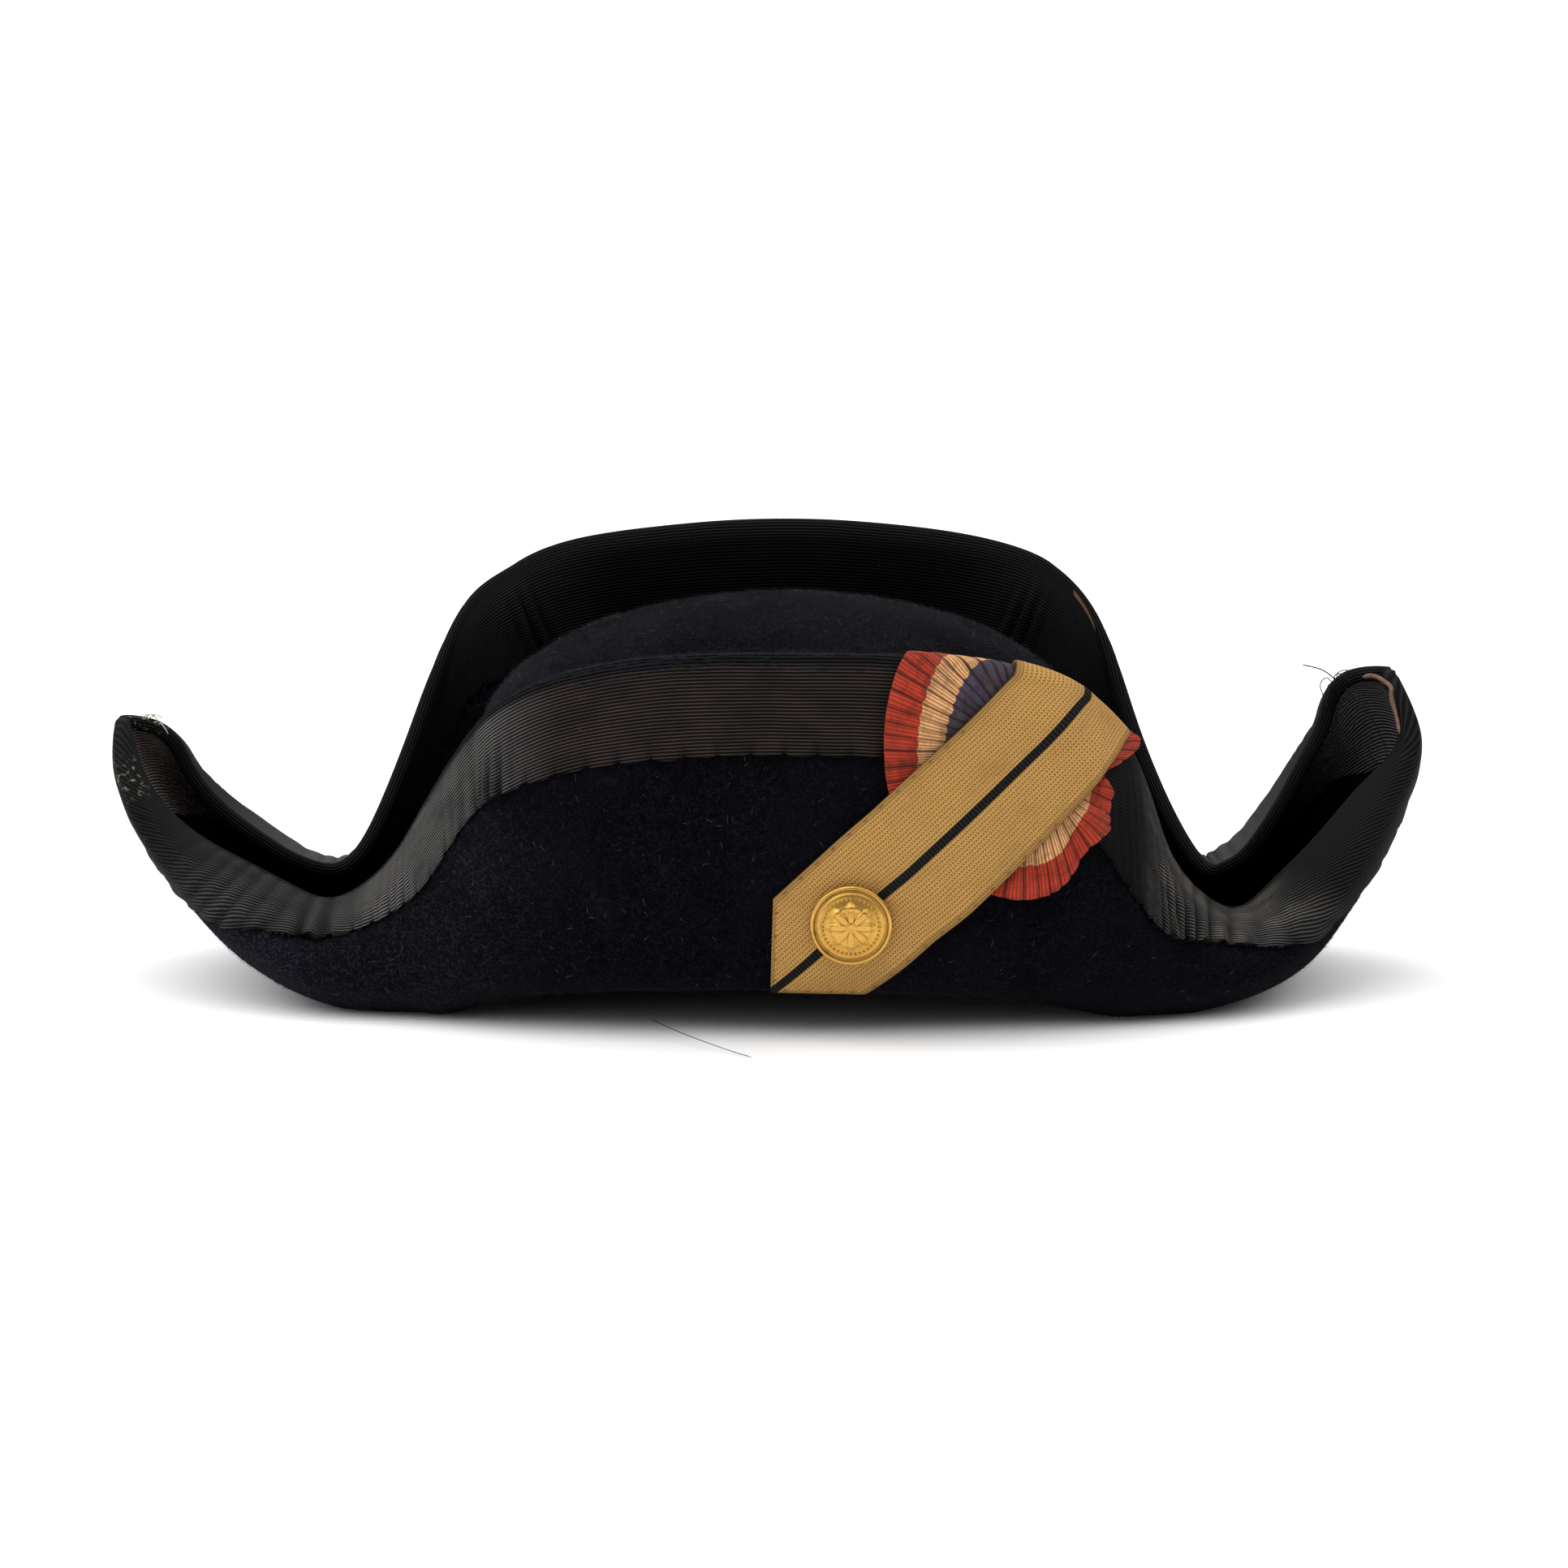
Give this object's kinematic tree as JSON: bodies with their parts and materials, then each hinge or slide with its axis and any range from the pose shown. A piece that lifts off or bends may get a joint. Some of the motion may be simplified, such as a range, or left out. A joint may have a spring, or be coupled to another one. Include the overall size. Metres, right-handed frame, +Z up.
{
  "type": "bicorne hat",
  "caption": "Bicorne hat of near-black felt with ribbed edge ribbon, pleated tricolour cockade, gold lace strap and gilt button",
  "frame": {"origin": "Under the middle of the hat's bounding box, on the surface that it rests on.", "axes": "+X to the horn on the cockade's side, -Y to the front flap, +Z up."},
  "size_m": [0.4234, 0.2031, 0.1396],
  "materials": {
    "felt": "fuzzy",
    "black_ribbon": "ribbed, worn",
    "cockade_ribbon": "pleated",
    "gold_lace": "woven",
    "gilt": "polished"
  },
  "bodies": {
    "root": {"felt_body": "felt", "edge_ribbon": "black_ribbon", "cockade": "cockade_ribbon", "lace_strap": "gold_lace", "button": "gilt"}
  },
  "joints": []
}
